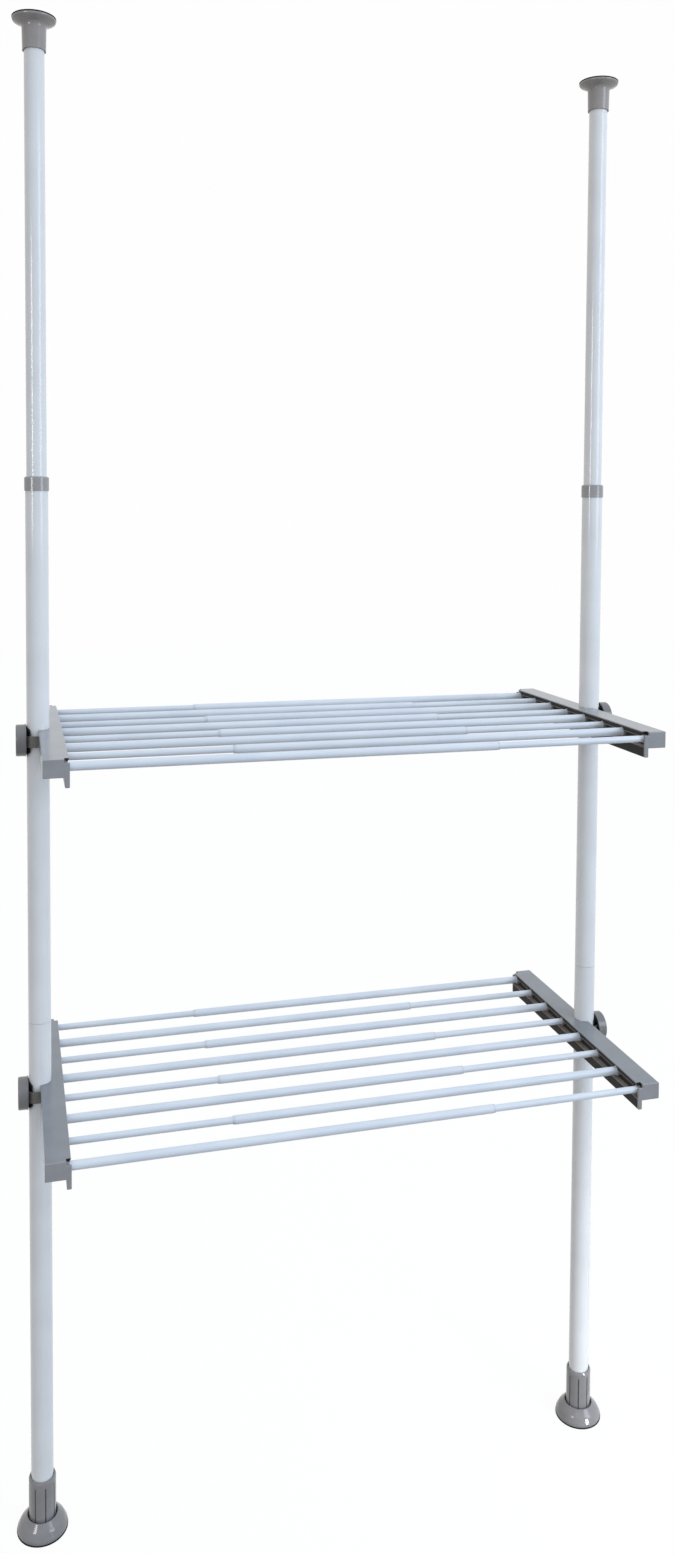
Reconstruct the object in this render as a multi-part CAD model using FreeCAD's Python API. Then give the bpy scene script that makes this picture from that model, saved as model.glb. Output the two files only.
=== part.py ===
import FreeCAD, Part
import math
import os

# Tension pole shelf unit: two telescopic poles with screw feet and sprung caps, and two shelves of
# telescopic rods clamped between them. Millimetres, +Z up, +X to the right, +Y to the back. The
# origin is on the floor, under the middle of the unit.

V = FreeCAD.Vector
ALONG_X = V(1, 0, 0)
ALONG_Y = V(0, 1, 0)
ALONG_Z = V(0, 0, 1)
TURN = 360
FINE_EDGE = 0.8            # corners up to this size are cut flat, larger ones are rounded

# Fits
TOUCH_GAP = 0.3            # between parts that face each other without touching
SLIDE_FIT = 0.08           # radial, between parts that slide or turn in each other
PLUG_FIT = 0.05            # radial, between a plug and the tube it is pressed in

# Whole unit
POLE_SPACING = 866.0       # between the axes of the two poles
POLE_SETBACK = 11.5        # poles' axes behind the middle of the rails
POLE_HEIGHT = 2178.0       # floor to the top of the ceiling pads
SEAM_HEIGHT = 760.5        # joint of the lower and the middle tube
COLLAR_HEIGHT = 1543.0     # top of the collar
UPPER_SHELF_HEIGHT = 1185.0
LOWER_SHELF_HEIGHT = 672.0

# Pole tubes
TUBE_R = 16.0              # lower and middle tube
TUBE_WALL = 1.2
UPPER_TUBE_R = 14.1
UPPER_TUBE_WALL = 1.0
TUBE_SEAM = 0.5            # open line between the lower and the middle tube
JOINER_WALL = 1.5
JOINER_REACH = 60.0        # of the joiner into each tube
UPPER_TUBE_OVERLAP = 160.0 # of the upper tube below the collar's top
LOCK_PLUG_HEAD = 12.0      # part of the lock plug below the upper tube
LOCK_PLUG_SPIGOT = 20.0
LOCK_SLOT = 2.4
LOCK_SLOT_DEPTH = 9.0

# Collar
COLLAR_R = 17.25
COLLAR_LENGTH = 20.0
COLLAR_LIP = 5.0           # height of the inner lip over the middle tube's end
COLLAR_CHAMFER = 1.6

# Foot
FOOT_R = 36.0
FOOT_HEIGHT = 23.0
FOOT_SHOULDER_R = 31.5     # where the bell's flank turns down
FOOT_SHOULDER_HEIGHT = 14.5
FOOT_SHOULDER_ROUND = 14.0
FOOT_EDGE_HEIGHT = 6.0     # where the flank meets its upright edge
FOOT_EDGE_ROUND = 3.5
FOOT_RIM = 2.0             # width of the rim round the sleeve's opening
FOOT_RIM_EDGE = 0.7
FOOT_FLOOR = 4.0           # floor between the spindle's flange and the sleeve
FOOT_GAP = 1.6             # open ring between the rim and the sleeve
SOLE_OVERHANG = 0.6        # of the sole round the bell
SOLE_THICKNESS = 2.0
SPINDLE_R = 6.0
SPINDLE_LENGTH = 70.0
SPINDLE_FLANGE_R = 14.0
SPINDLE_FLANGE = 4.0
SPINDLE_POINT = 1.0        # chamfer of its tip

# Turning sleeve
SLEEVE_R = 19.5
SLEEVE_TOP = 81.0
SLEEVE_SHOULDER = 26.0     # height of the shoulder that carries the lower tube
SLEEVE_MOUTH_GAP = 0.9     # radial, round the tube
SLEEVE_RIM_CHAMFER = 1.4
SLEEVE_RIM_HEIGHT = 3.0
SLEEVE_GROOVES = 8
SLEEVE_GROOVE_R = 0.9
SLEEVE_GROOVE_START = 6.0  # above the sleeve's lower end
SLEEVE_GROOVE_END = 9.0    # below the sleeve's top
SLEEVE_TURNS = {"left": 11.8, "right": 19.5}  # how far each sleeve stands screwed round

# Top cap
CAP_LENGTH = 45.0          # cup and flange, with the pad
CAP_FLANGE_R = 30.0
CAP_FLANGE_DEPTH = 11.0    # from the pad's top to where the flange springs from the cup
CAP_RIM = 2.6              # upright edge of the flange
CAP_CUP_R = 17.0           # cup beside the flange
CAP_MOUTH_R = 16.3         # cup at its mouth
CAP_MOUTH_GAP = 0.9        # radial, round the upper tube
CAP_MOUTH_DEPTH = 6.0      # of the open mouth, below the bore that slides on the tube
CAP_ROOF = 9.0             # solid part over the spring, with the pad
CAP_FLANGE_ROUND = 6.0
CAP_TRAVEL = 8.0
CAP_SPARE = 4.0            # left between the tube and the cap's roof when pressed
PAD_THICKNESS = 1.6
PAD_OVERHANG = 0.3         # of the pad round the flange
SPRING_R = 8.6
SPRING_WIRE = 1.8          # side of its square wire
SPRING_TURNS = 5
SPRING_LENGTH = 38.0
SEAT_THICKNESS = 6.0
SEAT_NUB_R = 5.0
SEAT_NUB_HEIGHT = 4.0

# Shelf rails, outer face on the poles' axis, measured inwards from it and down from their top
RAIL_LENGTH = 447.0
RAIL_WIDTH = 33.3          # outer face to the leg's inner face
RAIL_HEIGHT = 23.5
RAIL_WALL = 2.0
PLATE_WIDTH = 32.6
WEB_INSET = 24.0           # web that holds the rods
WEB_THICKNESS = 2.2
LIP_INSET = 29.6           # lip that hangs under the plate
LIP_THICKNESS = 1.6
LIP_DROP = 8.5
LEG_THICKNESS = 6.2
LEG_DROP = 13.0            # below the rail's bottom
EDGE_ROUND = 1.2
EDGE_CUT = 0.5             # small corners of the rail's section
NOTCH_INSET = 26.5         # corner notch at both ends of the plate
NOTCH_LENGTH = 8.0
SADDLE_WALL = 2.2          # wall round the pole's notch

# End caps
END_CAP_THICKNESS = 2.5
END_CAP_STEP = 5.0         # step below the plate, under the corner notch
END_CAP_TONGUE = 9.0
END_CAP_TONGUE_WALL = 1.6
END_CAP_ROUND = 1.0
END_CAP_FIT = 0.15

# Rods
ROD_COUNT = 8
ROD_END_INSET = 10.6       # first rod's axis from the rail's end
ROD_DROP = 11.0            # rods' axis below the rail's top
THICK_ROD_R = 6.0
THICK_ROD_WALL = 0.6
THIN_ROD_R = 4.75
THIN_ROD_WALL = 0.6
ROD_LENGTH = 579.0         # of a thick or a thin tube
FERRULE_LENGTH = 5.0       # plug's collar between the web and the tube
FERRULE_STEP = 1.2         # collar's radius over the tube's
FERRULE_EDGE = 0.6
PLUG_SPIGOT = 12.0
PLUG_NOSE_R = 3.6
PLUG_NOSE = 3.0            # past the web
BUSH_LIP = 3.0
BUSH_LIP_STEP = 0.3        # lip's radius under the tube's
BUSH_SPIGOT = 10.0

# Clamp, measured outwards from the pole's axis
CLAMP_DROP = 16.5          # screw's axis below the rail's top
CLAMP_TRAVEL = 2.0
SADDLE_PAD_THICKNESS = 2.2
SADDLE_PAD_R = 20.2        # round outline of the pad, seen along the screw
SADDLE_PAD_START = 11.0    # pad's edges from the pole's axis
PAD_BOSS_R = 4.6
PAD_BOSS = 1.8
STRAP_THICKNESS = 2.0
STRAP_HEIGHT = 16.0
STRAP_TONGUE_HEIGHT = 9.0  # tongue through the rail's outer wall
STRAP_TAB = 9.0            # tongue's end, hooked behind that wall
NUT_R = 8.0
NUT_THICKNESS = 3.6
SCREW_R = 3.0
KNOB_R = 22.5
KNOB_REACH = 31.0          # outer face
KNOB_WEB = 3.7
KNOB_SKIRT = 1.8
KNOB_CLEARANCE = 0.6       # from the skirt's edge to the pole
KNOB_LIP = 0.6             # raised ring at the skirt's edge
KNOB_LIP_WIDTH = 1.6
KNOB_EDGE_ROUND = 2.0

# Heights and radii that follow from the sizes above
foot_seat = SOLE_THICKNESS + SPINDLE_FLANGE
foot_floor_top = foot_seat + FOOT_FLOOR
foot_opening_r = SLEEVE_R + FOOT_GAP
sole_r = FOOT_R + SOLE_OVERHANG
tube_bore_r = TUBE_R - TUBE_WALL
upper_bore_r = UPPER_TUBE_R - UPPER_TUBE_WALL
upper_tube_bottom = COLLAR_HEIGHT - UPPER_TUBE_OVERLAP
cap_mouth = POLE_HEIGHT - CAP_LENGTH
cap_roof = POLE_HEIGHT - CAP_ROOF
upper_tube_top = cap_roof - CAP_TRAVEL - CAP_SPARE
spring_foot = cap_roof - SPRING_LENGTH
rod_start = WEB_INSET + WEB_THICKNESS + FERRULE_LENGTH
rod_end = rod_start + ROD_LENGTH
rod_pitch = (RAIL_LENGTH - 2 * ROD_END_INSET) / (ROD_COUNT - 1)
notch_r = TUBE_R + TOUCH_GAP
pad_back_r = notch_r + SADDLE_PAD_THICKNESS
strap_bore_r = pad_back_r + 2 * TOUCH_GAP
strap_centre = CLAMP_TRAVEL + TOUCH_GAP
strap_reach = strap_centre + strap_bore_r + STRAP_THICKNESS


def outline(corners):
    """Closed wire in the XZ plane through corners (x, z) or (x, z, size of the rounding)."""
    edges = []
    count = len(corners)
    entries = []
    exits = []
    for i in range(count):
        corner = V(corners[i][0], 0, corners[i][1])
        before = corners[i - 1]
        after = corners[(i + 1) % count]
        back = (V(before[0], 0, before[1]) - corner).normalize()
        ahead = (V(after[0], 0, after[1]) - corner).normalize()
        radius = corners[i][2] if len(corners[i]) > 2 else 0
        half_angle = back.getAngle(ahead) / 2
        cut = radius / math.tan(half_angle)
        entries.append(corner + back * cut)
        exits.append(corner + ahead * cut)
        if radius > FINE_EDGE:
            to_centre = (back + ahead).normalize()
            centre = corner + to_centre * (radius / math.sin(half_angle))
            edges.append(Part.Arc(entries[i], centre - to_centre * radius, exits[i]).toShape())
        elif radius > 0:
            edges.append(Part.LineSegment(entries[i], exits[i]).toShape())
    for i in range(count):
        start = exits[i]
        end = entries[(i + 1) % count]
        if start.distanceToPoint(end) > 1e-6:
            edges.append(Part.LineSegment(start, end).toShape())
    return Part.Wire(Part.__sortEdges__(edges))


def revolved(corners):
    """Body of revolution about Z, from a radius and height outline."""
    return Part.Face(outline(corners)).revolve(V(), ALONG_Z, TURN)


def turned_along_x(corners):
    """Body of revolution about X, from an outline of (radius, distance along X)."""
    body = revolved(corners)
    body.rotate(V(), ALONG_Y, 90)
    return body


def extruded(corners, start, length):
    """Prism along Y with an XZ outline."""
    return Part.Face(outline(corners)).extrude(V(0, length, 0)).translated(V(0, start, 0))


def tube(outer_r, bore_r, start, end):
    """Tube along Z."""
    outer = Part.makeCylinder(outer_r, end - start, V(0, 0, start))
    return outer.cut(Part.makeCylinder(bore_r, end - start, V(0, 0, start)))


def rod_tube(outer_r, bore_r, start, end):
    """Tube along X."""
    outer = Part.makeCylinder(outer_r, end - start, V(start, 0, 0), ALONG_X)
    return outer.cut(Part.makeCylinder(bore_r, end - start, V(start, 0, 0), ALONG_X))


# Pole, on the Z axis

def foot_sole():
    return revolved([(0, 0), (sole_r, 0), (sole_r, SOLE_THICKNESS), (0, SOLE_THICKNESS)])


def foot_base():
    """Bell with an opening for the turning sleeve and a seat for the spindle's flange."""
    seat_r = SPINDLE_FLANGE_R + TOUCH_GAP
    bore_r = SPINDLE_R + TOUCH_GAP
    rim_r = foot_opening_r + FOOT_RIM
    return revolved([
        (bore_r, foot_seat), (bore_r, foot_floor_top), (foot_opening_r, foot_floor_top),
        (foot_opening_r, FOOT_HEIGHT, FOOT_RIM_EDGE), (rim_r, FOOT_HEIGHT, FOOT_RIM_EDGE),
        (FOOT_SHOULDER_R, FOOT_SHOULDER_HEIGHT, FOOT_SHOULDER_ROUND),
        (FOOT_R, FOOT_EDGE_HEIGHT, FOOT_EDGE_ROUND), (FOOT_R, SOLE_THICKNESS),
        (seat_r, SOLE_THICKNESS), (seat_r, foot_seat)])


def foot_spindle():
    """Screw spindle on a flange; it stands in the foot and rises into the lower tube."""
    tip = SOLE_THICKNESS + SPINDLE_LENGTH
    return revolved([
        (0, SOLE_THICKNESS), (SPINDLE_FLANGE_R, SOLE_THICKNESS), (SPINDLE_FLANGE_R, foot_seat),
        (SPINDLE_R, foot_seat), (SPINDLE_R, tip - SPINDLE_POINT),
        (SPINDLE_R - SPINDLE_POINT, tip), (0, tip)])


def foot_sleeve():
    """Grooved sleeve: its threaded floor runs on the spindle and its shoulder lifts the tube."""
    bottom = foot_floor_top + TOUCH_GAP
    nut_r = SPINDLE_R + SLIDE_FIT
    mouth_r = TUBE_R + SLEEVE_MOUTH_GAP
    sleeve = revolved([
        (nut_r, bottom), (SLEEVE_R, bottom), (SLEEVE_R, SLEEVE_TOP - SLEEVE_RIM_HEIGHT),
        (SLEEVE_R - SLEEVE_RIM_CHAMFER, SLEEVE_TOP), (mouth_r, SLEEVE_TOP),
        (mouth_r, SLEEVE_SHOULDER), (nut_r, SLEEVE_SHOULDER)])
    groove_bottom = bottom + SLEEVE_GROOVE_START
    groove_length = SLEEVE_TOP - SLEEVE_GROOVE_END - groove_bottom
    groove = Part.makeCylinder(SLEEVE_GROOVE_R, groove_length, V(0, -SLEEVE_R, groove_bottom))
    grooves = []
    for i in range(SLEEVE_GROOVES):
        cutter = groove.copy()
        cutter.rotate(V(), ALONG_Z, i * TURN / SLEEVE_GROOVES)
        grooves.append(cutter)
    return sleeve.cut(grooves)


def lower_tube():
    return tube(TUBE_R, tube_bore_r, SLEEVE_SHOULDER + TOUCH_GAP, SEAM_HEIGHT - TUBE_SEAM / 2)


def tube_joiner():
    """Sleeve inside the two tubes at their seam."""
    joiner_r = tube_bore_r - PLUG_FIT
    return tube(joiner_r, joiner_r - JOINER_WALL, SEAM_HEIGHT - JOINER_REACH,
                SEAM_HEIGHT + JOINER_REACH)


def middle_tube():
    return tube(TUBE_R, tube_bore_r, SEAM_HEIGHT + TUBE_SEAM / 2, COLLAR_HEIGHT - COLLAR_LIP)


def collar():
    """Collar pressed over the middle tube, with a lip that guides the upper tube."""
    bottom = COLLAR_HEIGHT - COLLAR_LENGTH
    lip = COLLAR_HEIGHT - COLLAR_LIP
    seat_r = TUBE_R + PLUG_FIT
    guide_r = UPPER_TUBE_R + SLIDE_FIT
    return revolved([
        (seat_r, bottom), (COLLAR_R, bottom), (COLLAR_R, COLLAR_HEIGHT - COLLAR_CHAMFER),
        (COLLAR_R - COLLAR_CHAMFER, COLLAR_HEIGHT), (guide_r, COLLAR_HEIGHT),
        (guide_r, lip), (seat_r, lip)])


def upper_tube():
    return tube(UPPER_TUBE_R, upper_bore_r, upper_tube_bottom, upper_tube_top)


def lock_plug():
    """Slotted plug on the upper tube's lower end; it runs in the middle tube and grips it."""
    head_r = tube_bore_r - SLIDE_FIT
    spigot_r = upper_bore_r - PLUG_FIT
    bottom = upper_tube_bottom - LOCK_PLUG_HEAD
    top = upper_tube_bottom + LOCK_PLUG_SPIGOT
    plug = revolved([
        (0, bottom), (head_r, bottom), (head_r, upper_tube_bottom), (spigot_r, upper_tube_bottom),
        (spigot_r, top), (0, top)])
    slot = Part.makeBox(2 * head_r, LOCK_SLOT, LOCK_SLOT_DEPTH, V(-head_r, -LOCK_SLOT / 2, bottom))
    return plug.cut(slot)


def spring_seat():
    """Plug in the top of the upper tube, under the spring."""
    seat_r = upper_bore_r - PLUG_FIT
    bottom = spring_foot - SEAT_THICKNESS
    return revolved([
        (0, bottom), (seat_r, bottom), (seat_r, spring_foot), (SEAT_NUB_R, spring_foot),
        (SEAT_NUB_R, spring_foot + SEAT_NUB_HEIGHT), (0, spring_foot + SEAT_NUB_HEIGHT)])


def cap_spring():
    """Compression spring of square wire between its seat and the cap's roof."""
    half = SPRING_WIRE / 2
    rise = SPRING_LENGTH - SPRING_WIRE
    path = Part.makeHelix(rise / SPRING_TURNS, rise, SPRING_R)
    section = Part.makePolygon([
        V(SPRING_R - half, 0, -half), V(SPRING_R + half, 0, -half), V(SPRING_R + half, 0, half),
        V(SPRING_R - half, 0, half), V(SPRING_R - half, 0, -half)])
    spring = Part.Wire(path).makePipeShell([section], True, True)
    return spring.translated(V(0, 0, spring_foot + half))


def top_cap():
    """Cup that slides on the upper tube, with a wide round flange for the ceiling."""
    mouth_r = UPPER_TUBE_R + CAP_MOUTH_GAP
    bore_r = UPPER_TUBE_R + SLIDE_FIT
    bore_start = cap_mouth + CAP_MOUTH_DEPTH
    flange_top = POLE_HEIGHT - PAD_THICKNESS
    flange_root = POLE_HEIGHT - CAP_FLANGE_DEPTH
    rim_bottom = flange_top - CAP_RIM
    return revolved([
        (mouth_r, cap_mouth), (CAP_MOUTH_R, cap_mouth), (CAP_CUP_R, flange_root, CAP_FLANGE_ROUND),
        (CAP_FLANGE_R, rim_bottom, CAP_RIM), (CAP_FLANGE_R, flange_top),
        (0, flange_top), (0, cap_roof), (bore_r, cap_roof), (bore_r, bore_start),
        (mouth_r, bore_start)])


def ceiling_pad():
    bottom = POLE_HEIGHT - PAD_THICKNESS
    pad_r = CAP_FLANGE_R + PAD_OVERHANG
    return revolved([(0, bottom), (pad_r, bottom), (pad_r, POLE_HEIGHT), (0, POLE_HEIGHT)])


# Shelf half: the pole is on the Z axis, +X points to the shelf's middle, the plate's top is at 0

def rod_places():
    """Places of the rods along the rail, from back to front, in the pole's frame."""
    back = RAIL_LENGTH / 2 - POLE_SETBACK - ROD_END_INSET
    return [back - i * rod_pitch for i in range(ROD_COUNT)]


def rail():
    """Hollow rail with a web for the rods, a lip, a hanging leg and a notch for the pole."""
    start = -RAIL_LENGTH / 2 - POLE_SETBACK + END_CAP_THICKNESS
    length = RAIL_LENGTH - 2 * END_CAP_THICKNESS
    web_face = WEB_INSET + WEB_THICKNESS
    lip_face = LIP_INSET + LIP_THICKNESS
    leg_face = RAIL_WIDTH - LEG_THICKNESS
    floor = RAIL_WALL - RAIL_HEIGHT
    leg_bottom = -RAIL_HEIGHT - LEG_DROP
    profile = [
        (0, 0, EDGE_ROUND), (PLATE_WIDTH, 0, EDGE_CUT), (PLATE_WIDTH, -RAIL_WALL, EDGE_CUT),
        (lip_face, -RAIL_WALL), (lip_face, -LIP_DROP), (LIP_INSET, -LIP_DROP),
        (LIP_INSET, -RAIL_WALL), (web_face, -RAIL_WALL), (web_face, floor), (RAIL_WIDTH, floor, EDGE_CUT),
        (RAIL_WIDTH, leg_bottom, EDGE_ROUND), (leg_face, leg_bottom, EDGE_ROUND),
        (leg_face, -RAIL_HEIGHT), (0, -RAIL_HEIGHT, EDGE_ROUND)]
    hollow = [(RAIL_WALL, -RAIL_WALL), (WEB_INSET, -RAIL_WALL), (WEB_INSET, floor),
              (RAIL_WALL, floor)]
    body = extruded(profile, start, length).cut(extruded(hollow, start, length))
    saddle = tube(notch_r + SADDLE_WALL, notch_r, floor, -RAIL_WALL)
    inner_half = Part.makeBox(2 * RAIL_WIDTH, 2 * RAIL_WIDTH, RAIL_HEIGHT,
                              V(0, -RAIL_WIDTH, -RAIL_HEIGHT))
    body = body.fuse(saddle.common(inner_half))
    cutters = [Part.makeCylinder(notch_r, RAIL_HEIGHT, V(0, 0, -RAIL_HEIGHT))]
    for place in rod_places():
        hole = V(WEB_INSET, place, -ROD_DROP)
        relief = V(web_face, place, -ROD_DROP)
        cutters.append(Part.makeCylinder(PLUG_NOSE_R + PLUG_FIT, WEB_THICKNESS, hole, ALONG_X))
        relief_r = THICK_ROD_R + FERRULE_STEP + TOUCH_GAP
        cutters.append(Part.makeCylinder(relief_r, RAIL_WIDTH - web_face, relief, ALONG_X))
    for end in (start, start + length - NOTCH_LENGTH + END_CAP_THICKNESS):
        cutters.append(Part.makeBox(RAIL_WIDTH, NOTCH_LENGTH - END_CAP_THICKNESS, LIP_DROP,
                                    V(NOTCH_INSET, end, -LIP_DROP)))
    slot_height = STRAP_TONGUE_HEIGHT + 2 * PLUG_FIT
    for side in (-1, 1):
        middle = side * (strap_bore_r + STRAP_THICKNESS / 2)
        width = STRAP_THICKNESS + 2 * PLUG_FIT
        cutters.append(Part.makeBox(2 * RAIL_WALL, width, slot_height,
                                    V(-RAIL_WALL, middle - width / 2,
                                      -CLAMP_DROP - slot_height / 2)))
    return body.cut(cutters).removeSplitter()


def end_cap(front):
    """Moulded cap: a face plate with a step and a leg, and a tongue that plugs the rail."""
    leg_face = RAIL_WIDTH - LEG_THICKNESS
    leg_bottom = -RAIL_HEIGHT - LEG_DROP
    face = [
        (0, 0, EDGE_ROUND), (NOTCH_INSET, 0), (NOTCH_INSET, -END_CAP_STEP),
        (RAIL_WIDTH, -END_CAP_STEP), (RAIL_WIDTH, leg_bottom, EDGE_ROUND),
        (leg_face, leg_bottom, EDGE_ROUND), (leg_face, -RAIL_HEIGHT),
        (0, -RAIL_HEIGHT, EDGE_ROUND)]
    plate = extruded(face, 0, END_CAP_THICKNESS)
    rim = [edge for edge in plate.Edges if edge.BoundBox.YMax < 1e-6]
    plate = plate.makeFillet(END_CAP_ROUND, rim)
    inner = RAIL_WALL + END_CAP_FIT
    across = WEB_INSET - PLUG_NOSE - TOUCH_GAP
    lower = RAIL_WALL - RAIL_HEIGHT + END_CAP_FIT
    wall = END_CAP_TONGUE_WALL
    tongue = extruded([(inner, -inner), (across, -inner), (across, lower), (inner, lower)],
                      END_CAP_THICKNESS, END_CAP_TONGUE)
    hollow = extruded([(inner + wall, -inner - wall), (across - wall, -inner - wall),
                       (across - wall, lower + wall), (inner + wall, lower + wall)],
                      END_CAP_THICKNESS, END_CAP_TONGUE)
    cap = plate.fuse(tongue.cut(hollow)).removeSplitter()
    if not front:
        cap = cap.mirror(V(), ALONG_Y)
    end = -RAIL_LENGTH / 2 if front else RAIL_LENGTH / 2
    return cap.translated(V(0, end - POLE_SETBACK, 0))


def end_caps():
    return Part.makeCompound([end_cap(True), end_cap(False)])


def rod_tubes(outer_r, wall, places):
    """Rod tubes of one thickness, fixed in the web and open at the other end."""
    one = rod_tube(outer_r, outer_r - wall, rod_start, rod_end)
    return Part.makeCompound([one.translated(V(0, place, -ROD_DROP)) for place in places])


def rod_plug(tube_r, bore_r):
    """Plug: a nose in the web, a collar that shows, and a spigot in the rod's tube."""
    nose_tip = WEB_INSET - PLUG_NOSE
    web_face = WEB_INSET + WEB_THICKNESS
    collar_r = tube_r + FERRULE_STEP
    spigot_r = bore_r - PLUG_FIT
    return turned_along_x([
        (0, nose_tip), (PLUG_NOSE_R, nose_tip), (PLUG_NOSE_R, web_face), (collar_r, web_face),
        (collar_r, rod_start, FERRULE_EDGE), (spigot_r, rod_start), (spigot_r, rod_start + PLUG_SPIGOT),
        (0, rod_start + PLUG_SPIGOT)])


def rod_bush():
    """Bush in a thick tube's mouth that guides the thin tube."""
    guide_r = THIN_ROD_R + SLIDE_FIT
    spigot_r = THICK_ROD_R - THICK_ROD_WALL - PLUG_FIT
    lip_r = THICK_ROD_R - BUSH_LIP_STEP
    return turned_along_x([
        (guide_r, rod_end - BUSH_SPIGOT), (spigot_r, rod_end - BUSH_SPIGOT), (spigot_r, rod_end),
        (lip_r, rod_end), (lip_r, rod_end + BUSH_LIP), (guide_r, rod_end + BUSH_LIP)])


def rod_fittings(thick_places, thin_places):
    thick_plug = rod_plug(THICK_ROD_R, THICK_ROD_R - THICK_ROD_WALL)
    thin_plug = rod_plug(THIN_ROD_R, THIN_ROD_R - THIN_ROD_WALL)
    bush = rod_bush()
    pieces = []
    for place in thick_places:
        pieces.append(thick_plug.translated(V(0, place, -ROD_DROP)))
        pieces.append(bush.translated(V(0, place, -ROD_DROP)))
    for place in thin_places:
        pieces.append(thin_plug.translated(V(0, place, -ROD_DROP)))
    return Part.makeCompound(pieces)


def clamp_strap():
    """Steel U round the pole, hooked behind the rail's wall, with a nut for the screw."""
    half = STRAP_HEIGHT / 2
    tongue_half = STRAP_TONGUE_HEIGHT / 2
    outer_r = strap_bore_r + STRAP_THICKNESS
    bend = V(-strap_centre, 0, -half)
    bore = Part.makeCylinder(strap_bore_r, STRAP_HEIGHT, bend)
    ring = Part.makeCylinder(outer_r, STRAP_HEIGHT, bend).cut(bore)
    outside = Part.makeBox(outer_r, 2 * outer_r, STRAP_HEIGHT,
                           V(-strap_centre - outer_r, -outer_r, -half))
    tab_face = RAIL_WALL + PLUG_FIT
    pieces = []
    for side in (-1, 1):
        inner = min(side * strap_bore_r, side * outer_r)
        tab_start = inner if side > 0 else inner - STRAP_TAB + STRAP_THICKNESS
        pieces.append(Part.makeBox(strap_centre - PLUG_FIT, STRAP_THICKNESS, STRAP_HEIGHT,
                                   V(-strap_centre, inner, -half)))
        pieces.append(Part.makeBox(strap_centre + tab_face, STRAP_THICKNESS, STRAP_TONGUE_HEIGHT,
                                   V(-strap_centre, inner, -tongue_half)))
        pieces.append(Part.makeBox(STRAP_THICKNESS, STRAP_TAB, STRAP_TONGUE_HEIGHT,
                                   V(tab_face, tab_start, -tongue_half)))
    nut_length = NUT_THICKNESS + STRAP_THICKNESS
    nut = Part.makeCylinder(NUT_R, nut_length, V(-strap_reach - NUT_THICKNESS, 0, 0), ALONG_X)
    pieces.append(nut.cut(bore))
    screw_way = Part.makeCylinder(SCREW_R + SLIDE_FIT, 2 * strap_reach,
                                  V(-2 * strap_reach, 0, 0), ALONG_X)
    boss_way = Part.makeCylinder(PAD_BOSS_R + TOUCH_GAP, strap_reach, V(-strap_reach, 0, 0),
                                 ALONG_X)
    strap = ring.common(outside).multiFuse(pieces).cut([screw_way, boss_way])
    return strap.removeSplitter().translated(V(0, 0, -CLAMP_DROP))


def clamp_pad():
    """Rubber saddle with a round outline, and a boss that the screw presses on."""
    shell = tube(pad_back_r, notch_r, -SADDLE_PAD_R, SADDLE_PAD_R)
    round_outline = Part.makeCylinder(SADDLE_PAD_R, pad_back_r,
                                      V(-SADDLE_PAD_START - pad_back_r, 0, 0), ALONG_X)
    saddle = shell.common(round_outline)
    boss_length = pad_back_r + PAD_BOSS - notch_r
    boss = Part.makeCylinder(PAD_BOSS_R, boss_length, V(-pad_back_r - PAD_BOSS, 0, 0), ALONG_X)
    boss = boss.cut(Part.makeCylinder(notch_r, 2 * SADDLE_PAD_R, V(0, 0, -SADDLE_PAD_R)))
    return saddle.fuse(boss).removeSplitter().translated(V(0, 0, -CLAMP_DROP))


def clamp_knob():
    """Hollow round knob moulded on its screw."""
    tip = -pad_back_r - PAD_BOSS - TOUCH_GAP
    web = -KNOB_REACH + KNOB_WEB
    edge = -TUBE_R - KNOB_CLEARANCE
    inner_r = KNOB_R - KNOB_SKIRT
    knob = turned_along_x([
        (0, -KNOB_REACH), (KNOB_R, -KNOB_REACH, KNOB_EDGE_ROUND), (KNOB_R, edge - KNOB_LIP_WIDTH),
        (KNOB_R + KNOB_LIP, edge - KNOB_LIP_WIDTH), (KNOB_R + KNOB_LIP, edge, KNOB_LIP / 2),
        (inner_r, edge), (inner_r, web), (SCREW_R, web), (SCREW_R, tip), (0, tip)])
    return knob.translated(V(0, 0, -CLAMP_DROP))


POLE_PARTS = {
    "foot_sole": foot_sole, "foot_base": foot_base, "foot_spindle": foot_spindle,
    "foot_sleeve": foot_sleeve, "lower_tube": lower_tube, "tube_joiner": tube_joiner,
    "middle_tube": middle_tube, "collar": collar, "upper_tube": upper_tube,
    "lock_plug": lock_plug, "spring_seat": spring_seat, "cap_spring": cap_spring,
    "top_cap": top_cap, "ceiling_pad": ceiling_pad,
}


def shelf_half_parts(thick_first):
    """Parts of one shelf half; the thick rods are every other one, from the back."""
    places = rod_places()
    thick_places = places[0::2] if thick_first else places[1::2]
    thin_places = places[1::2] if thick_first else places[0::2]
    return {
        "rail": rail(),
        "end_caps": end_caps(),
        "thick_rods": rod_tubes(THICK_ROD_R, THICK_ROD_WALL, thick_places),
        "thin_rods": rod_tubes(THIN_ROD_R, THIN_ROD_WALL, thin_places),
        "rod_fittings": rod_fittings(thick_places, thin_places),
        "clamp_strap": clamp_strap(),
        "clamp_pad": clamp_pad(),
        "clamp_knob": clamp_knob(),
    }


def placed(shape, side, height):
    """Set a part built for the left pole beside the left (-1) or mirrored to the right (1) pole."""
    if side > 0:
        shape = shape.mirror(V(), ALONG_X)
    return shape.translated(V(side * POLE_SPACING / 2, POLE_SETBACK, height))


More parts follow.
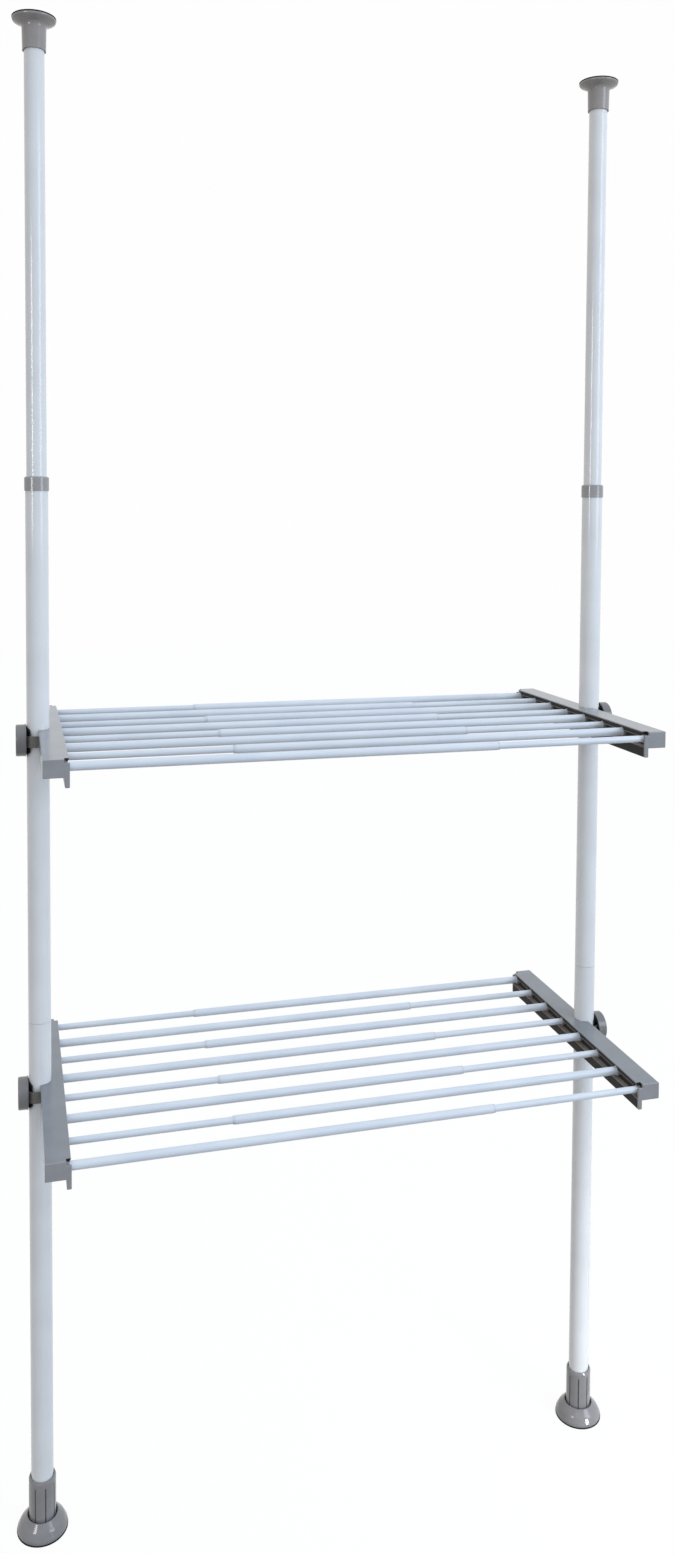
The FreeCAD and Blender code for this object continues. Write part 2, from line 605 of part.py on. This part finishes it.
def build():
    os.makedirs("parts", exist_ok=True)
    sides = {"left": -1, "right": 1}
    for side_name, side in sides.items():
        for part_name, make in POLE_PARTS.items():
            shape = make()
            if part_name == "foot_sleeve":
                shape.rotate(V(), ALONG_Z, SLEEVE_TURNS[side_name])
            shape = shape.translated(V(side * POLE_SPACING / 2, POLE_SETBACK, 0))
            shape.exportStep("parts/" + side_name + "_" + part_name + ".step")
        half = shelf_half_parts(side > 0)
        for shelf_name, height in (("lower", LOWER_SHELF_HEIGHT), ("upper", UPPER_SHELF_HEIGHT)):
            for part_name, shape in half.items():
                node = shelf_name + "_" + side_name + "_" + part_name
                placed(shape, side, height).exportStep("parts/" + node + ".step")


build()
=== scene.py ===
import math

import bpy
from mathutils import Euler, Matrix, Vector


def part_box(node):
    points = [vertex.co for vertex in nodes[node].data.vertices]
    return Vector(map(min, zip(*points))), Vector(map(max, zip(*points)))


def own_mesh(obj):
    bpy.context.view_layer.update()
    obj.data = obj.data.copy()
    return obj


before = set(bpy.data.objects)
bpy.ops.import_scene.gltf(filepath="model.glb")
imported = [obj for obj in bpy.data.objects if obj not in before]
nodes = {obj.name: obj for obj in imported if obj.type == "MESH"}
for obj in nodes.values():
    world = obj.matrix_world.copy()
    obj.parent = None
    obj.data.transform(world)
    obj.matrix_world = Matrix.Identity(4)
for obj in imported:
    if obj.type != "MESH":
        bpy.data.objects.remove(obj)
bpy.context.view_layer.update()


# Studio. A pale floor runs out of sight under a white surround, which lights the object softly: dim
# and warm from the left and the back, cooler and brighter towards a window at front right. Three
# lamps add the window's own light, a little light low on the right foot, and a glint at the left.
def linear(hex_colour):
    """Turns an sRGB hex colour into the linear colour that a shader takes."""
    channels = []
    for i in (1, 3, 5):
        value = int(hex_colour[i:i + 2], 16) / 255
        channels.append(value / 12.92 if value <= 0.04045 else ((value + 0.055) / 1.055) ** 2.4)
    return (*channels, 1.0)


def add_node(tree, kind, inputs=None, **settings):
    """Adds a node to a tree. An input is a value, or another node's output to link to it."""
    made = tree.nodes.new(kind)
    for name, value in settings.items():
        setattr(made, name, value)
    for key, value in (inputs or {}).items():
        if isinstance(value, bpy.types.NodeSocket):
            tree.links.new(value, made.inputs[key])
        else:
            made.inputs[key].default_value = value
    return made


def seen_white(tree):
    """1 for the rays that should meet a white background: camera, mirror and see-through rays."""
    ray = add_node(tree, "ShaderNodeLightPath")
    glossy = add_node(tree, "ShaderNodeMath", {0: ray.outputs["Is Glossy Ray"],
                                               1: ray.outputs["Is Transmission Ray"]},
                      operation="MAXIMUM")
    every = add_node(tree, "ShaderNodeMath", {0: ray.outputs["Is Camera Ray"], 1: glossy.outputs[0]},
                     operation="MAXIMUM")
    return every.outputs[0]


# A Mix node has several sockets of one name, so they go by number: the share of B, the two numbers
# and the two colours that it mixes, and the mixed colour that comes out.
SHARE = 0
NUMBER_A = 2
NUMBER_B = 3
COLOUR_A = 6
COLOUR_B = 7
MIXED_COLOUR = 2

# The far tint turns into the window's between two cosines of the angle to the window.
WINDOW_WAY = (0.66, -0.62, 0.42)
WINDOW_TINT = "#E4F1FF"
FAR_TINT = "#D8D0C8"
TINT_TURN = (-0.7, 0.9)
SURROUND_LIGHT = 1.1
BACKDROP_WHITE = "#FEFEFE"
world = bpy.data.worlds.new("white_surround")
world.use_nodes = True
tree = world.node_tree
tree.nodes.clear()
bpy.context.scene.world = world
way = add_node(tree, "ShaderNodeTexCoord")
toward = add_node(tree, "ShaderNodeVectorMath", {0: way.outputs["Generated"], 1: WINDOW_WAY},
                  operation="DOT_PRODUCT")
nearness = add_node(tree, "ShaderNodeMapRange", {"Value": toward.outputs["Value"],
                                                 "From Min": TINT_TURN[0],
                                                 "From Max": TINT_TURN[1]})
tint = add_node(tree, "ShaderNodeMix",
                {SHARE: nearness.outputs[0], COLOUR_A: linear(FAR_TINT),
                 COLOUR_B: linear(WINDOW_TINT)}, data_type="RGBA")
lit = add_node(tree, "ShaderNodeBackground", {"Color": tint.outputs[MIXED_COLOUR],
                                              "Strength": SURROUND_LIGHT})
shown = add_node(tree, "ShaderNodeBackground", {"Color": linear(BACKDROP_WHITE), "Strength": 1.0})
surround = add_node(tree, "ShaderNodeMixShader",
                    {0: seen_white(tree), 1: lit.outputs[0], 2: shown.outputs[0]})
add_node(tree, "ShaderNodeOutputWorld", {"Surface": surround.outputs[0]})

# The camera sees the floor as white glow with a small share of paint, which takes the object's
# shadow. The rays that light the object meet paint alone, a grey that throws little light upwards.
FLOOR_WIDTH = 24.0
FLOOR_GLOW = 0.93
FLOOR_GREY = "#8E8C89"
PURE_WHITE = "#FFFFFF"
floor_paint = bpy.data.materials.new("white_floor_paint")
floor_paint.use_nodes = True
tree = floor_paint.node_tree
tree.nodes.clear()
seen = seen_white(tree)
glow_share = add_node(tree, "ShaderNodeMath", {0: seen, 1: FLOOR_GLOW}, operation="MULTIPLY")
paint_tone = add_node(tree, "ShaderNodeMix", {SHARE: seen, COLOUR_A: linear(FLOOR_GREY),
                                              COLOUR_B: linear(PURE_WHITE)}, data_type="RGBA")
painted = add_node(tree, "ShaderNodeBsdfDiffuse", {"Color": paint_tone.outputs[MIXED_COLOUR]})
glowing = add_node(tree, "ShaderNodeEmission", {"Color": linear(PURE_WHITE), "Strength": 1.0})
surface = add_node(tree, "ShaderNodeMixShader",
                   {0: glow_share.outputs[0], 1: painted.outputs[0], 2: glowing.outputs[0]})
add_node(tree, "ShaderNodeOutputMaterial", {"Surface": surface.outputs[0]})
bpy.ops.mesh.primitive_plane_add(size=FLOOR_WIDTH, location=(0, 0, 0))
floor = bpy.context.object
floor.name = "floor"
floor.data.materials.append(floor_paint)


def lamp(name, place, aim, width, height, power, colour=PURE_WHITE, spread=180, only_gloss=False):
    """Adds a soft rectangular lamp that the camera doesn't see, or one that only glosses show."""
    light = bpy.data.lights.new(name, "AREA")
    light.shape = "RECTANGLE"
    light.size = width
    light.size_y = height
    light.energy = power
    light.color = linear(colour)[:3]
    light.spread = math.radians(spread)
    holder = bpy.data.objects.new(name, light)
    bpy.context.scene.collection.objects.link(holder)
    holder.location = place
    holder.rotation_euler = (Vector(aim) - Vector(place)).to_track_quat("-Z", "Y").to_euler()
    holder.visible_camera = False
    holder.visible_diffuse = not only_gloss


lamp("key", place=(2.2, -2.4, 2.2), aim=(0, 0, 1.0), width=1.4, height=1.8, power=38,
     colour="#E4F0FF")
lamp("low_fill", place=(0.95, -1.35, 0.35), aim=(0.43, 0, 0.05), width=0.3, height=0.2, power=0.6,
     spread=45)
lamp("left_pane", place=(-2.0, -1.55, 1.9), aim=(0, 0, 1.6), width=0.42, height=0.9, power=15,
     only_gloss=True)

# Camera. It stands by the left pole at chest height and is turned a little to the right and down.
# Its lens and its shift are given in the pixels of a picture of one height.
PICTURE_HEIGHT_PIXELS = 1554
FOCAL_PIXELS = 1187.76
HORIZON_ROW = 575.65
CAMERA_PLACE = (-0.46954, -1.72466, 1.48397)
CAMERA_TURN_DEGREES = (87.3306, -0.3373, -15.3732)
camera_data = bpy.data.cameras.new("camera")
camera = bpy.data.objects.new("camera", camera_data)
bpy.context.scene.collection.objects.link(camera)
camera_data.lens = camera_data.sensor_width * FOCAL_PIXELS / PICTURE_HEIGHT_PIXELS
camera_data.shift_y = (HORIZON_ROW - PICTURE_HEIGHT_PIXELS / 2) / PICTURE_HEIGHT_PIXELS
camera.location = CAMERA_PLACE
camera.rotation_euler = Euler([math.radians(turn) for turn in CAMERA_TURN_DEGREES])
bpy.context.scene.camera = camera
bpy.context.scene.view_settings.view_transform = "Standard"

# Feet. Each is a bell moulded in grey ABS on a black rubber sole, with a grooved sleeve of the same
# ABS that turns on a zinc-plated screw spindle and lifts the pole.
MILLIMETRE = 0.001
SIDES = ("left", "right")


def new_material(name, constants):
    """A material, its shader with constants on the shader's own sockets, and the shader's tree."""
    material = bpy.data.materials.new(name)
    material.use_nodes = True
    tree = material.node_tree
    tree.nodes.clear()
    shader = add_node(tree, "ShaderNodeBsdfPrincipled", constants)
    add_node(tree, "ShaderNodeOutputMaterial", {"Surface": shader.outputs[0]})
    return material, shader, tree


def finish(node_name, material):
    """Gives a CAD node its material."""
    node = nodes[node_name]
    node.data.materials.clear()
    node.data.materials.append(material)


NOISE_LOW = 0.3
NOISE_HIGH = 0.7


def mottled(tree, size, dark, light, detail=3.0):
    """A colour that drifts between two tones in soft patches of a real size."""
    place = add_node(tree, "ShaderNodeTexCoord")
    patches = add_node(tree, "ShaderNodeTexNoise", {"Vector": place.outputs["Object"],
                                                    "Scale": 1 / size, "Detail": detail})
    spread = add_node(tree, "ShaderNodeMapRange", {"Value": patches.outputs["Fac"],
                                                   "From Min": NOISE_LOW,
                                                   "From Max": NOISE_HIGH})
    tone = add_node(tree, "ShaderNodeMix", {SHARE: spread.outputs[0], COLOUR_A: linear(dark),
                                            COLOUR_B: linear(light)}, data_type="RGBA")
    return tone.outputs[MIXED_COLOUR]


def grained(tree, shader, size, depth, strength):
    """Roughens a surface with a fine grain, which is drawn coarse enough to show a little."""
    place = add_node(tree, "ShaderNodeTexCoord")
    grain = add_node(tree, "ShaderNodeTexNoise", {"Vector": place.outputs["Object"],
                                                  "Scale": 1 / size, "Detail": 2.0})
    bump = add_node(tree, "ShaderNodeBump", {"Height": grain.outputs["Fac"], "Strength": strength,
                                             "Distance": depth})
    tree.links.new(bump.outputs[0], shader.inputs["Normal"])


# ABS, moulded in a tool with a fine spark texture: satin, with bright but soft-edged glints. The
# batches of the unit's mouldings differ a little in tone and gloss.
NYLON_AND_ABS_IOR = 1.53


def grey_abs(name, dark, light, roughness):
    """One batch of the grey moulded ABS."""
    material, shader, tree = new_material(name, {"Roughness": roughness, "IOR": NYLON_AND_ABS_IOR})
    tree.links.new(mottled(tree, 25 * MILLIMETRE, dark, light), shader.inputs["Base Color"])
    grained(tree, shader, size=0.6 * MILLIMETRE, depth=0.05 * MILLIMETRE, strength=0.1)
    return material


FOOT_DARK = "#807E7F"
FOOT_LIGHT = "#898788"
foot_abs = grey_abs("moulded_grey_abs_foot", FOOT_DARK, FOOT_LIGHT, roughness=0.15)

# The sleeve's ABS is a little less glossy, from hands. Its grooves and the inside of its mouth are
# painted dark as shade, and its rim is left unshaded. The painted shade is told by its distance from
# the pole's axis, with the left side folded over on the right one, where the axis is measured.
GROOVE_SKIN = 0.25 * MILLIMETRE
RIM_HEIGHT = 3.5 * MILLIMETRE
sleeve_low, sleeve_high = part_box("right_foot_sleeve")
pole_x = (sleeve_low.x + sleeve_high.x) / 2
pole_y = (sleeve_low.y + sleeve_high.y) / 2
shaded_within_r = (sleeve_high.x - sleeve_low.x) / 2 - GROOVE_SKIN
sleeve_abs = grey_abs("moulded_grey_abs_sleeve", FOOT_DARK, FOOT_LIGHT, roughness=0.2)
tree = sleeve_abs.node_tree
colour_input = tree.nodes["Principled BSDF"].inputs["Base Color"]
place = add_node(tree, "ShaderNodeTexCoord")
split = add_node(tree, "ShaderNodeSeparateXYZ", {0: place.outputs["Object"]})
across = add_node(tree, "ShaderNodeMath", {0: split.outputs["X"]}, operation="ABSOLUTE")
plan = add_node(tree, "ShaderNodeCombineXYZ", {"X": across.outputs[0], "Y": split.outputs["Y"]})
from_axis = add_node(tree, "ShaderNodeVectorMath", {0: plan.outputs[0], 1: (pole_x, pole_y, 0)},
                     operation="DISTANCE")
in_groove = add_node(tree, "ShaderNodeMath", {0: from_axis.outputs["Value"], 1: shaded_within_r},
                     operation="LESS_THAN")
under_rim = add_node(tree, "ShaderNodeMath", {0: split.outputs["Z"], 1: sleeve_high.z - RIM_HEIGHT},
                     operation="LESS_THAN")
# Painted shade in the grooves and inside the mouth, below the rim.
painted_groove_shade = add_node(tree, "ShaderNodeMath", {0: in_groove.outputs[0], 1: under_rim.outputs[0]},
                 operation="MULTIPLY")
tone = add_node(tree, "ShaderNodeMix",
                {SHARE: painted_groove_shade.outputs[0], COLOUR_A: colour_input.links[0].from_socket,
                 COLOUR_B: mottled(tree, 5 * MILLIMETRE, "#3A3838", "#4A4747")}, data_type="RGBA")
tree.links.new(tone.outputs[MIXED_COLOUR], colour_input)

# Rubber, pressed in a plain tool: matt and nearly black, with no clear glint.
rubber, shader, tree = new_material("black_rubber", {"Roughness": 0.85, "IOR": 1.52,
                                                     "Specular IOR Level": 0.25})
tree.links.new(mottled(tree, 4 * MILLIMETRE, "#0E0E0F", "#171718"), shader.inputs["Base Color"])
grained(tree, shader, size=0.8 * MILLIMETRE, depth=0.08 * MILLIMETRE, strength=0.2)

# Steel, barrel-plated with zinc: a pale cool metal, a little duller in some patches than in others.
zinc, shader, tree = new_material("zinc_plated_steel", {"Metallic": 1.0})
place = add_node(tree, "ShaderNodeTexCoord")
patches = add_node(tree, "ShaderNodeTexNoise", {"Vector": place.outputs["Object"],
                                                "Scale": 1 / (2 * MILLIMETRE)})
dullness = add_node(tree, "ShaderNodeMapRange", {"Value": patches.outputs["Fac"],
                                                 "To Min": 0.28, "To Max": 0.42})
tree.links.new(dullness.outputs[0], shader.inputs["Roughness"])
tree.links.new(mottled(tree, 9 * MILLIMETRE, "#B4B6BA", "#C9CBCE"), shader.inputs["Base Color"])

for side in SIDES:
    finish(side + "_foot_sole", rubber)
    finish(side + "_foot_base", foot_abs)
    finish(side + "_foot_sleeve", sleeve_abs)
    finish(side + "_foot_spindle", zinc)


# Pole tubes. Thin-walled steel tube, powder-coated white. The lower and the middle tube meet on a
# zinc-plated joiner, and the thinner upper one slides in the middle one.
def white_coat(name, dark, light, roughness):
    """White powder coat, sprayed and baked: a glossy skin with a faint orange peel."""
    material, shader, tree = new_material(name, {"Roughness": roughness, "IOR": 1.5,
                                                 "Specular IOR Level": 0.4})
    tree.links.new(mottled(tree, 60 * MILLIMETRE, dark, light, detail=1.0),
                   shader.inputs["Base Color"])
    grained(tree, shader, size=2.2 * MILLIMETRE, depth=0.05 * MILLIMETRE, strength=0.05)
    return material


# The poles' batch is the glossier one, so the pane at the left draws a narrow streak on it.
pole_coat = white_coat("white_powder_coat_pole", "#E0E1E2", "#E6E7E8", roughness=0.14)
for side in SIDES:
    for part in ("lower_tube", "middle_tube", "upper_tube"):
        finish(side + "_" + part, pole_coat)
    finish(side + "_tube_joiner", zinc)

# Collars, caps and what is inside the pole's top end. Collar and cap are moulded in the grey ABS,
# drawn paler than the feet's as painted light on the pole's upper end; the lock plug and the
# spring's seat are black nylon. The spring is plated steel wire, and a rubber pad is glued on the
# cap's flange.

# Black nylon, moulded in a polished tool: near black with an even, soft sheen.
black_nylon, shader, tree = new_material("black_nylon", {"Roughness": 0.45,
                                                         "IOR": NYLON_AND_ABS_IOR})
tree.links.new(mottled(tree, 6 * MILLIMETRE, "#1E1E20", "#29292C"), shader.inputs["Base Color"])
grained(tree, shader, size=0.6 * MILLIMETRE, depth=0.04 * MILLIMETRE, strength=0.1)

# Tones paler than the feet's: painted light on the pole's upper end.
cap_abs = grey_abs("moulded_grey_abs_cap", "#928C8A", "#9B9593", roughness=0.2)
collar_abs = grey_abs("moulded_grey_abs_collar", "#979595", "#A09E9E", roughness=0.16)
for side in SIDES:
    finish(side + "_collar", collar_abs)
    finish(side + "_top_cap", cap_abs)
    finish(side + "_ceiling_pad", rubber)
    finish(side + "_lock_plug", black_nylon)
    finish(side + "_spring_seat", black_nylon)
    finish(side + "_cap_spring", zinc)

# The spring stands on its seat. Each side's spring gets a mesh of its own.
for side in SIDES:
    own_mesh(nodes[side + "_cap_spring"])

# Shelf rails. Each is one aluminium extrusion with a smooth grey coat outside. Its open inner side,
# where the rods go in, is painted near black as shade, with a pale painted highlight along the edges
# of its two thin ribs. The insets run inwards from the pole's axis, and the tops and depths down
# from the rail's plate.
SHELVES = ("lower", "upper")
CHANNEL_INSET = 25.0 * MILLIMETRE
CHANNEL_TOP = 2.2 * MILLIMETRE
LEG_INSET = 27.6 * MILLIMETRE
LEG_TOP = 23.4 * MILLIMETRE
RIB_DEPTHS = (8.5 * MILLIMETRE, 21.5 * MILLIMETRE)
RIB_EDGE = 0.7 * MILLIMETRE
NOTCH_INSET = 26.4 * MILLIMETRE
NOTCH_START = 215.2 * MILLIMETRE  # from the middle of the rail's length
COAT_ROUGHNESS = 0.2
INSIDE_ROUGHNESS = 0.85
INSIDE_PATCH = 12 * MILLIMETRE


def region(tree, across, height, inset, top):
    """1 further in than an inset from the pole's axis and below a height."""
    inside = add_node(tree, "ShaderNodeMath", {0: across, 1: pole_x - inset},
                      operation="LESS_THAN")
    below = add_node(tree, "ShaderNodeMath", {0: height, 1: top}, operation="LESS_THAN")
    both = add_node(tree, "ShaderNodeMath", {0: inside.outputs[0], 1: below.outputs[0]},
                    operation="MULTIPLY")
    return both.outputs[0]


def rail_coat(shelf):
    """Sprayed grey coat, even and satin, round the matt painted shade inside one shelf's rails."""
    material, shader, tree = new_material("grey_coated_aluminium_" + shelf, {"IOR": 1.5})
    plate_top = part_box(shelf + "_left_rail")[1].z
    place = add_node(tree, "ShaderNodeTexCoord")
    split = add_node(tree, "ShaderNodeSeparateXYZ", {0: place.outputs["Object"]})
    height = split.outputs["Z"]
    across = add_node(tree, "ShaderNodeMath", {0: split.outputs["X"]}, operation="ABSOLUTE")
    along = add_node(tree, "ShaderNodeMath", {0: split.outputs["Y"]}, operation="ABSOLUTE")

    # Painted shade covers the channel, the leg's inner face below it, and the corner notches.
    channel = region(tree, across.outputs[0], height, CHANNEL_INSET, plate_top - CHANNEL_TOP)
    leg_face = region(tree, across.outputs[0], height, LEG_INSET, plate_top - CHANNEL_TOP)
    on_leg = add_node(tree, "ShaderNodeMath", {0: height, 1: plate_top - LEG_TOP},
                      operation="LESS_THAN")
    under_plate = add_node(tree, "ShaderNodeMix", {SHARE: on_leg.outputs[0], NUMBER_A: channel,
                                                   NUMBER_B: leg_face})
    at_end = add_node(tree, "ShaderNodeMath", {0: along.outputs[0], 1: NOTCH_START},
                      operation="GREATER_THAN")
    at_edge = add_node(tree, "ShaderNodeMath", {0: across.outputs[0], 1: pole_x - NOTCH_INSET},
                       operation="LESS_THAN")
    in_notch = add_node(tree, "ShaderNodeMath", {0: at_end.outputs[0], 1: at_edge.outputs[0]},
                        operation="MULTIPLY")
    painted_shade_mask = add_node(tree, "ShaderNodeMath", {0: under_plate.outputs[0], 1: in_notch.outputs[0]},
                    operation="MAXIMUM")

    # The painted shade is near black, a little browner on the leg, with a pale painted highlight on
    # each rib's edge.
    ribs = [add_node(tree, "ShaderNodeMath", {0: height, 1: plate_top - depth, 2: RIB_EDGE},
                     operation="COMPARE").outputs[0] for depth in RIB_DEPTHS]
    painted_rib_highlight = add_node(tree, "ShaderNodeMath", {0: ribs[0], 1: ribs[1]}, operation="MAXIMUM")
    painted_shade_tone = add_node(tree, "ShaderNodeMix",
                      {SHARE: on_leg.outputs[0],
                       COLOUR_A: mottled(tree, INSIDE_PATCH, "#121011", "#1D1A1A"),
                       COLOUR_B: mottled(tree, INSIDE_PATCH, "#161312", "#221E1D")},
                      data_type="RGBA")
    shade_and_rib_highlight = add_node(tree, "ShaderNodeMix",
                      {SHARE: painted_rib_highlight.outputs[0], COLOUR_A: painted_shade_tone.outputs[MIXED_COLOUR],
                       COLOUR_B: mottled(tree, INSIDE_PATCH, "#8A817B", "#A3988F")},
                      data_type="RGBA")

    coat = mottled(tree, 40 * MILLIMETRE, "#7C8187", "#848990")
    # Inside the rail, the painted shade and rib highlights take the place of the grey coat.
    tone = add_node(tree, "ShaderNodeMix", {SHARE: painted_shade_mask.outputs[0], COLOUR_A: coat,
                                            COLOUR_B: shade_and_rib_highlight.outputs[MIXED_COLOUR]},
                    data_type="RGBA")
    tree.links.new(tone.outputs[MIXED_COLOUR], shader.inputs["Base Color"])
    dullness = add_node(tree, "ShaderNodeMapRange", {"Value": painted_shade_mask.outputs[0],
                                                     "To Min": COAT_ROUGHNESS,
                                                     "To Max": INSIDE_ROUGHNESS})
    tree.links.new(dullness.outputs[0], shader.inputs["Roughness"])
    grained(tree, shader, size=1.6 * MILLIMETRE, depth=0.03 * MILLIMETRE, strength=0.05)
    return material


for shelf in SHELVES:
    coat = rail_coat(shelf)
    for side in SIDES:
        finish(shelf + "_" + side + "_rail", coat)

# End caps. A push-in ABS moulding closes each end of a rail, close to the coat in tone.
end_abs = grey_abs("moulded_grey_abs_end_cap", "#8A8B8E", "#929396", roughness=0.25)
for shelf in SHELVES:
    for side in SIDES:
        finish(shelf + "_" + side + "_end_caps", end_abs)

# Rods. Eight white powder-coated steel tubes to a shelf, thick ones that take thin ones in. The
# bushes in the thick tubes' mouths are moulded in pale nylon, and the plugs in the rails in a
# greyer one, drawn darker still as painted shade from the rails' plates.
PLUG_END = 45.0 * MILLIMETRE  # inwards from the pole's axis, past the plugs

# Pale nylon, moulded: waxy, with a soft sheen.
rod_nylon, shader, tree = new_material("pale_nylon", {"Roughness": 0.4, "IOR": NYLON_AND_ABS_IOR})
place = add_node(tree, "ShaderNodeTexCoord")
split = add_node(tree, "ShaderNodeSeparateXYZ", {0: place.outputs["Object"]})
across = add_node(tree, "ShaderNodeMath", {0: split.outputs["X"]}, operation="ABSOLUTE")
on_plug = add_node(tree, "ShaderNodeMath", {0: across.outputs[0], 1: pole_x - PLUG_END},
                   operation="GREATER_THAN")
# The plugs' greyer nylon is drawn darker still: painted shade from the rail's plate.
tone = add_node(tree, "ShaderNodeMix",
                {SHARE: on_plug.outputs[0],
                 COLOUR_A: mottled(tree, 8 * MILLIMETRE, "#CBD0D6", "#D4D8DD"),
                 COLOUR_B: mottled(tree, 8 * MILLIMETRE, "#8C8E93", "#989A9F")}, data_type="RGBA")
tree.links.new(tone.outputs[MIXED_COLOUR], shader.inputs["Base Color"])
grained(tree, shader, size=0.6 * MILLIMETRE, depth=0.04 * MILLIMETRE, strength=0.08)

# The rods' batch of powder coat is a little cooler and duller than the poles'.
rod_coat = white_coat("white_powder_coat_rod", "#D5DCE5", "#DCE2E9", roughness=0.32)
for shelf in SHELVES:
    for side in SIDES:
        half = shelf + "_" + side + "_"
        finish(half + "thick_rods", rod_coat)
        finish(half + "thin_rods", rod_coat)
        finish(half + "rod_fittings", rod_nylon)

# Clamps. A bent steel strap hooks behind the rail and holds the pole, with a black rubber saddle
# between them, pressed on by a hollow ABS knob that is moulded on its screw.

# The strap's electrocoat is a thin dip: dark, a little brown, with a low sheen.
strap_coat, shader, tree = new_material("dark_electrocoat", {"Roughness": 0.38, "IOR": 1.5})
tree.links.new(mottled(tree, 5 * MILLIMETRE, "#5A5752", "#68645F"), shader.inputs["Base Color"])
grained(tree, shader, size=0.5 * MILLIMETRE, depth=0.03 * MILLIMETRE, strength=0.08)

knob_abs = grey_abs("moulded_grey_abs_knob", "#717071", "#7A797A", roughness=0.25)
for shelf in SHELVES:
    for side in SIDES:
        half = shelf + "_" + side + "_"
        finish(half + "clamp_strap", strap_coat)
        finish(half + "clamp_pad", rubber)
        finish(half + "clamp_knob", knob_abs)
